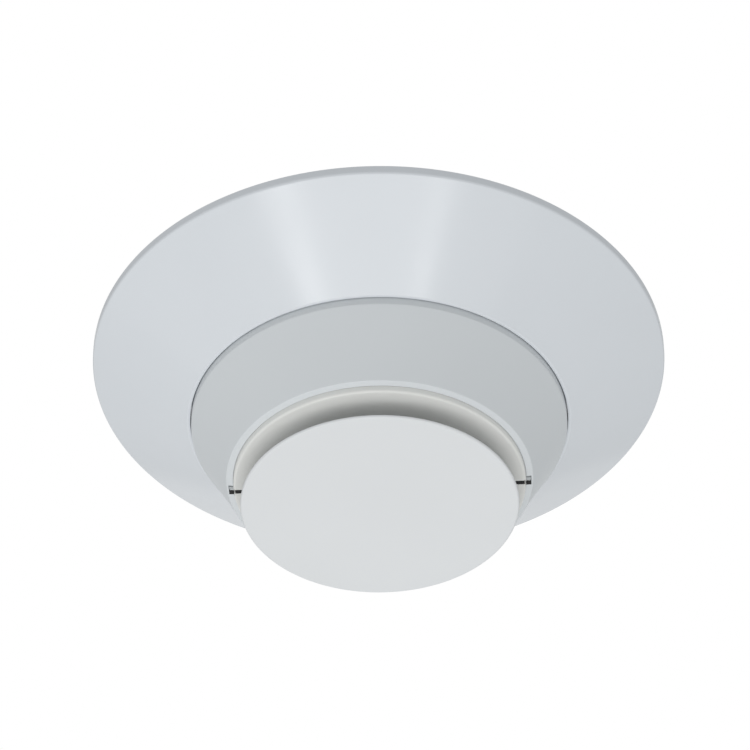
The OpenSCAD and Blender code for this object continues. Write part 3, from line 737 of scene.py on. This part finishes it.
class DETECTOR_OT_head_shell(bpy.types.Operator):
    """Head shell: upright wall, concave cone and a flat lip with two light notches"""

    bl_idname = "detector.head_shell"
    bl_label = "Head shell"

    def execute(self, context):
        size = context.scene.detector_head
        top = drop_of("head_shell")[0]
        inner = size.radius - size.wall
        mouth = size.lip_radius - size.lip_width
        ledge = size.lip_drop - size.lip_depth
        across = size.wall * 1.15  # the cone's wall measured level

        def cone(drop):
            share = (drop - size.shoulder) / (size.lip_drop - size.shoulder)
            straight = size.radius + (size.lip_radius - size.radius) * share
            return straight - size.sag * 4 * share * (1 - share)

        loops = 8
        outside = [size.shoulder + (size.lip_drop - size.shoulder) * i / loops for i in range(1, loops)]
        inside = [size.shoulder + (ledge - size.shoulder) * i / loops for i in range(loops - 1, 0, -1)]
        corners = [(inner, top, 0.4 * MM), (size.radius, top, 0.4 * MM),
                   (size.radius, size.shoulder, 0.8 * MM)]
        corners += [(cone(drop), drop, 0) for drop in outside]
        corners += [(size.lip_radius, size.lip_drop, 0.4 * MM),
                    (mouth, size.lip_drop + 0.3 * MM, 0.24 * MM), (mouth, ledge, 0),
                    (cone(ledge) - across + 0.1 * MM, ledge, 0)]
        corners += [(cone(drop) - across, drop, 0) for drop in inside]
        corners += [(inner, size.shoulder - 1 * MM, 0.6 * MM)]
        shell = turned("head_housing", corners, around=360)
        combine(shell, self.inner_parts(inner, size, ledge - size.flange - 0.1 * MM), "UNION")
        notch_near = size.notch_far - size.notch_width
        notch = block("notch", (mouth - 1 * MM, size.notch_reach), (notch_near, size.notch_far),
                      (ledge - 1 * MM, size.lip_drop + 3 * MM))
        holes = spread(bar("hole", size.screw_hole, (size.shelf - 1.3 * MM, size.shelf + 6.5 * MM),
                           (size.boss_ring, 0)), 3, 30)
        combine(shell, joined([notch, mirrored(notch)] + holes), "DIFFERENCE")
        finish_piece(shell, "head", head_abs(), "head_plastic", "head_shell")
        return {"FINISHED"}

    def inner_parts(self, inner, size, snap_low):
        """Gasket shelf, the three screw bosses under it and the snaps that hold the chamber floor."""
        top = size.shelf
        low = top + 1.6 * MM
        rim = inner + 0.5 * MM
        edge = inner - 3.1 * MM
        shelf = turned("shelf", [(edge, top, 0), (rim, top, 0), (rim, low, 0), (edge, low, 0)], 120)
        boss = bar("boss", size.boss, (top, top + 8 * MM), (size.boss_ring, 0))
        web = block("web", (size.boss_ring + 2 * MM, inner + 1 * MM), (-1 * MM, 1 * MM),
                    (top, top + 4.8 * MM))
        combine(shelf, joined(spread(combine(boss, web, "UNION"), 3, 30)), "UNION")
        flange = reach_of("chamber_floor")
        snap = sector("snap", (flange - 0.9 * MM, flange + 2.2 * MM), (snap_low - 1.5 * MM, snap_low),
                      math.radians(9))
        return joined([shelf] + spread(snap, 3, 100))


class DETECTOR_OT_chamber_floor(bpy.types.Operator):
    """Chamber floor: a shallow cup snapped into the shell, with the board posts and the guard's boss"""

    bl_idname = "detector.chamber_floor"
    bl_label = "Chamber floor"

    def execute(self, context):
        size = context.scene.detector_head
        low = drop_of("chamber_floor")[1]
        plate = low - 2 * MM
        wall_in = size.floor_radius - 1.8 * MM
        ledge = size.lip_drop - size.lip_depth
        flange_top = ledge - size.flange
        flange = reach_of("chamber_floor")
        cup = turned("floor_moulding", [
            (wall_in, plate, 0.5 * MM), (wall_in, flange_top, 0), (flange, flange_top, 0.3 * MM),
            (flange, ledge, 0), (size.floor_radius, ledge, 0), (size.floor_radius, low, size.floor_edge),
        ], solid=True)
        root = low - 1 * MM
        board = drop_of("circuit_board")[1]
        post = bar("post", size.boss, (board, root), (size.board_ring, 0))
        boss = bar("boss", 5.7 * MM, (42 * MM, root))
        rib = block("rib", (4.8 * MM, 42.1 * MM), (-0.6 * MM, 0.6 * MM), (plate - 2 * MM, root))
        arms = joined(spread(combine(rib, post, "UNION"), 3, 85))
        combine(cup, combine(boss, arms, "UNION"), "UNION")
        past = low + 1 * MM
        cuts = self.pipe_cuts(flange, (ledge - 3 * MM, past), (plate - 0.6 * MM, past))
        cuts.append(bar("bore", 3.35 * MM, (41 * MM, past)))
        cuts += spread(bar("screw_hole", size.screw_hole, (board - 1 * MM, board + 8 * MM),
                           (size.board_ring, 0), 24), 3, 85)
        cuts += spread(bar("disc_hole", 1.2 * MM, (plate - 1 * MM, past), (size.post_ring, 0), 24), 4, 45)
        combine(cup, joined(cuts), "DIFFERENCE")
        # The floor's lighter white is painted light for the shaded recess under the disc.
        finish_piece(cup, "head", floor_abs_painted_light(), "head_plastic", "chamber_floor")
        return {"FINISHED"}

    def pipe_cuts(self, flange, room_drop, slot_drop):
        """On each side, the room for a light pipe in the cup's edge and the slot for the baffle beside it."""
        room = block("room", (42.8 * MM, flange + 1 * MM), (-0.15 * MM, 1.95 * MM), room_drop)
        slot = block("slot", (37.1 * MM, 43 * MM), (-0.85 * MM, 0.85 * MM), slot_drop)
        combine(room, slot, "UNION")
        return [room, mirrored(room)]


class DETECTOR_OT_disc(bpy.types.Operator):
    """Disc under the sensor, with its four posts"""

    bl_idname = "detector.disc"
    bl_label = "Disc"

    def execute(self, context):
        size = context.scene.detector_head
        top, low = drop_of("cap_disc")
        radius = reach_of("cap_disc")
        back = low - size.disc_wall
        disc = turned("disc_moulding", [
            (radius - 1.8 * MM, back, 0.3 * MM), (radius, low - size.disc_edge - 0.05 * MM, 0),
            (radius, low, size.disc_edge * 0.98),
        ], around=360, solid=True, segments=8)
        post = bar("post", size.post, (top, back + 0.7 * MM), (size.post_ring, 0), 64)
        combine(disc, joined(spread(post, 4, 45)), "UNION")
        hole = bar("hole", size.screw_hole, (top - 1 * MM, top + 5 * MM), (size.post_ring, 0), 24)
        combine(disc, joined(spread(hole, 4, 45)), "DIFFERENCE")
        finish_piece(disc, "head", disc_abs(), "disc_plastic", "cap_disc")
        return {"FINISHED"}


class DETECTOR_OT_sensor(bpy.types.Operator):
    """Thermistor bead on its two leads, and the tube round it"""

    bl_idname = "detector.sensor"
    bl_label = "Thermistor and guard"

    def execute(self, context):
        top, low = drop_of("thermistor")
        radius = 1.4 * MM
        rest()
        bpy.ops.mesh.primitive_uv_sphere_add(segments=40, ring_count=24, radius=radius,
                                             location=(0, 0, radius - low))
        bead = named("thermistor_bead")
        bpy.ops.object.mode_set(mode="EDIT")
        pick("faces", lambda co: co.z > 1.7 * radius - low)
        bpy.ops.mesh.extrude_region_move()
        bpy.ops.transform.translate(value=(0, 0, 0.5 * radius))
        bpy.ops.transform.resize(value=(1.15, 0.5, 1))
        rest()
        leads = [bar("lead", 0.25 * MM, (top, low - radius * 1.2), (side * 0.7 * MM, 0), 20)
                 for side in (-1, 1)]
        combine(bead, joined(leads), "UNION")
        finish_piece(bead, "head", bead_epoxy(), "thermistor_epoxy", "thermistor")
        top, low = drop_of("thermistor_guard")
        outer = reach_of("thermistor_guard")
        tube = turned("guard_tube", [
            (2.3 * MM, top, 0.2 * MM), (outer, top, 0.2 * MM), (outer, top + 1 * MM, 0.2 * MM),
            (3.3 * MM, top + 1 * MM, 0), (3.3 * MM, low, 0.25 * MM), (2.3 * MM, low, 0.25 * MM)],
            around=96, segments=3)
        finish_piece(tube, "head", guard_nylon(), "guard_plastic", "thermistor_guard")
        return {"FINISHED"}


class DETECTOR_OT_light_pipes(bpy.types.Operator):
    """Two light pipes in the notches of the lip, the black baffles beside them, which paint the slots' shade,
    and the diodes behind them
    """

    bl_idname = "detector.light_pipes"
    bl_label = "Light pipes"

    def execute(self, context):
        acrylic = pipe_acrylic()
        for side in ("left", "right"):
            pipe = softened("light_pipe_" + side, "light_pipe_lens_" + side, 0.15 * MM)
            finish_piece(pipe, "head", acrylic, "light_pipe_acrylic", "light_pipe_" + side)
        paint("status_leds", led_epoxy())
        # The near-black baffles fill the slots beside the light pipes with painted shade.
        paint("light_baffles", baffle_abs_painted_shade())
        return {"FINISHED"}


class DETECTOR_OT_base(bpy.types.Operator):
    """Twist-lock base, its terminals and its lock lever"""

    bl_idname = "detector.base"
    bl_label = "Base"

    def execute(self, context):
        plate = softened("base_plate", "base_moulding", 0.25 * MM)
        finish_piece(plate, "base", base_polycarbonate(), "base_plastic", "base_plate")
        lever = softened("lock_lever", "lock_lever_moulding", 0.25 * MM)
        finish_piece(lever, "lever", lever_acetal(), "lever_plastic", "lock_lever")
        brass, steel = contact_brass(), zinc_steel()
        for node in ("terminal_contacts", "contact_rivets"):
            paint(node, brass)
        for node in ("terminal_screws", "clamp_plates", "lever_pin"):
            paint(node, steel)
        return {"FINISHED"}


class DETECTOR_OT_rear_cover(bpy.types.Operator):
    """Cover on the back of the head, with its blades, screws, gasket and label"""

    bl_idname = "detector.rear_cover"
    bl_label = "Rear cover"

    def execute(self, context):
        cover = softened("rear_cover", "rear_cover_moulding", 0.25 * MM)
        finish_piece(cover, "head", base_polycarbonate(), "base_plastic", "rear_cover")
        paint("contact_blades", contact_brass())
        paint("cover_screws", zinc_steel())
        paint("cover_gasket", gasket_foam())
        paint("rating_label", label_film())
        return {"FINISHED"}


class DETECTOR_OT_board(bpy.types.Operator):
    """Circuit board and what is on it"""

    bl_idname = "detector.board"
    bl_label = "Circuit board"

    def execute(self, context):
        resin, steel = chip_epoxy(), zinc_steel()
        paint("circuit_board", board_laminate())
        for node in ("processor_chip", "memory_chip", "bridge_rectifier", "test_header"):
            paint(node, resin)
        for node in ("board_screws", "disc_screws"):
            paint(node, steel)
        paint("capacitors", capacitor_sleeve())
        paint("choke_coil", coil_lacquer())
        paint("chip_parts", chip_ceramic())
        return {"FINISHED"}


class DETECTOR_OT_stage(bpy.types.Operator):
    """Pale floor, soft light and the camera"""

    bl_idname = "detector.stage"
    bl_label = "Stage"

    def execute(self, context):
        stage = context.scene.detector_stage
        self.camera(context, stage)
        self.floor(stage)
        self.world(context, stage)
        self.lights(context)
        context.scene.view_settings.view_transform = "Standard"
        return {"FINISHED"}

    def camera(self, context, stage):
        """Camera below the ceiling, looking up at the head."""
        data = bpy.data.cameras.new("camera")
        data.lens = stage.lens
        data.sensor_width = 36
        camera = bpy.data.objects.new("camera", data)
        context.scene.collection.objects.link(camera)
        spin = Matrix.Rotation(stage.azimuth, 3, "Z")
        back = Vector((0, -math.cos(stage.elevation), -math.sin(stage.elevation)))
        camera.location = spin @ (Vector(stage.aim) + back * stage.distance)
        facing = (-(spin @ back)).to_track_quat("-Z", "Y").to_matrix()
        turn = Matrix.Rotation(-stage.roll, 3, "Z")
        camera.rotation_euler = (facing @ turn).to_euler()
        context.scene.camera = camera

    def floor(self, stage):
        """Large plain floor, well below the detector."""
        rest()
        bpy.ops.mesh.primitive_plane_add(size=30, location=(0, 0, -stage.floor))
        floor = named("floor")
        material, tree, shader, place = begin("painted_floor_pale", 1.5)
        cloud = add(tree, "TexNoise", {"Vector": place, "Scale": per_mm(900), "Detail": 2})
        shade = add(tree, "MixRGB", {"Fac": cloud.outputs["Fac"], "Color1": linear("#f3f3f1"),
                                     "Color2": linear("#f8f8f7")})
        shader.inputs["Roughness"].default_value = 0.8
        link_ends(tree, shader, shade)
        floor.data.materials.append(material)

    def world(self, context, stage):
        """White behind the object, and a dim even light from all round."""
        world = bpy.data.worlds.new("studio")
        context.scene.world = world
        world.use_nodes = True
        tree = world.node_tree
        tree.nodes.clear()
        seen = add(tree, "Background", {"Color": (1, 1, 1, 1), "Strength": 1})
        felt = add(tree, "Background", {"Color": (0.97, 0.99, 1, 1), "Strength": stage.fill})
        path = add(tree, "LightPath")
        mix = add(tree, "MixShader", {0: path.outputs["Is Camera Ray"], 1: felt.outputs[0],
                                      2: seen.outputs[0]})
        add(tree, "OutputWorld", {"Surface": mix.outputs[0]})

    def lights(self, context):
        """Broad panels all round, and two narrow ones below that draw streaks on the gloss."""
        target = Vector((0, 0, -0.03))
        panels = [
            ("panel_above", Vector((0, 0, 7)), (5, 5), 30),
            ("panel_below", Vector((0, 0, -1.5)), (2.4, 2.4), 8.4),
            ("panel_left", Vector((-1.6, 0, -1)), (1.6, 1.6), 2),
            ("panel_behind", Vector((0, 2.6, 1.6)), (2.4, 2.4), 4),
            ("panel_near", Vector((-0.078, -0.507, -1.196)), (0.85, 0.5), 1.5),
            ("streak_left", Vector((-0.434, -0.427, -1.161)), (0.17, 0.5), 0.87),
            ("streak_right", Vector((0.318, -0.461, -1.174)), (0.1, 0.5), 0.52),
        ]
        for name, place, size, power in panels:
            data = bpy.data.lights.new(name, "AREA")
            data.shape = "RECTANGLE"
            data.size, data.size_y = size
            data.energy = power
            lamp = bpy.data.objects.new(name, data)
            lamp.location = place
            lamp.rotation_euler = (target - place).to_track_quat("-Z", "Y").to_euler()
            lamp.visible_camera = False
            context.scene.collection.objects.link(lamp)


STEPS = (
    DETECTOR_OT_trim_skirt, DETECTOR_OT_head_shell, DETECTOR_OT_chamber_floor, DETECTOR_OT_disc,
    DETECTOR_OT_sensor, DETECTOR_OT_light_pipes, DETECTOR_OT_base, DETECTOR_OT_rear_cover,
    DETECTOR_OT_board, DETECTOR_OT_stage,
)
SETTINGS = {
    "detector_skirt": SkirtSettings, "detector_head": HeadSettings,
    "detector_colours": ColourSettings, "detector_stage": StageSettings,
}


class DETECTOR_PT_panel(bpy.types.Panel):
    """Lists the detector's settings and steps"""

    bl_idname = "DETECTOR_PT_panel"
    bl_label = "Heat detector"
    bl_space_type = "VIEW_3D"
    bl_region_type = "UI"
    bl_category = "Detector"

    def draw(self, context):
        for key, group in SETTINGS.items():
            box = self.layout.box()
            for item in group.__annotations__:
                box.prop(getattr(context.scene, key), item)
        for step in STEPS:
            self.layout.operator(step.bl_idname)


def register():
    """Registers the settings, the steps and the panel."""
    for key, group in SETTINGS.items():
        bpy.utils.register_class(group)
        setattr(bpy.types.Scene, key, PointerProperty(type=group))
    for step in STEPS:
        bpy.utils.register_class(step)
    bpy.utils.register_class(DETECTOR_PT_panel)


def unregister():
    """Takes away what register added."""
    bpy.utils.unregister_class(DETECTOR_PT_panel)
    for step in reversed(STEPS):
        bpy.utils.unregister_class(step)
    for key, group in SETTINGS.items():
        delattr(bpy.types.Scene, key)
        bpy.utils.unregister_class(group)


def main():
    """Builds every piece and the stage."""
    register()
    for step in STEPS:
        area, action = step.bl_idname.split(".")
        getattr(getattr(bpy.ops, area), action)()
    rest()


if __name__ == "__main__":
    main()
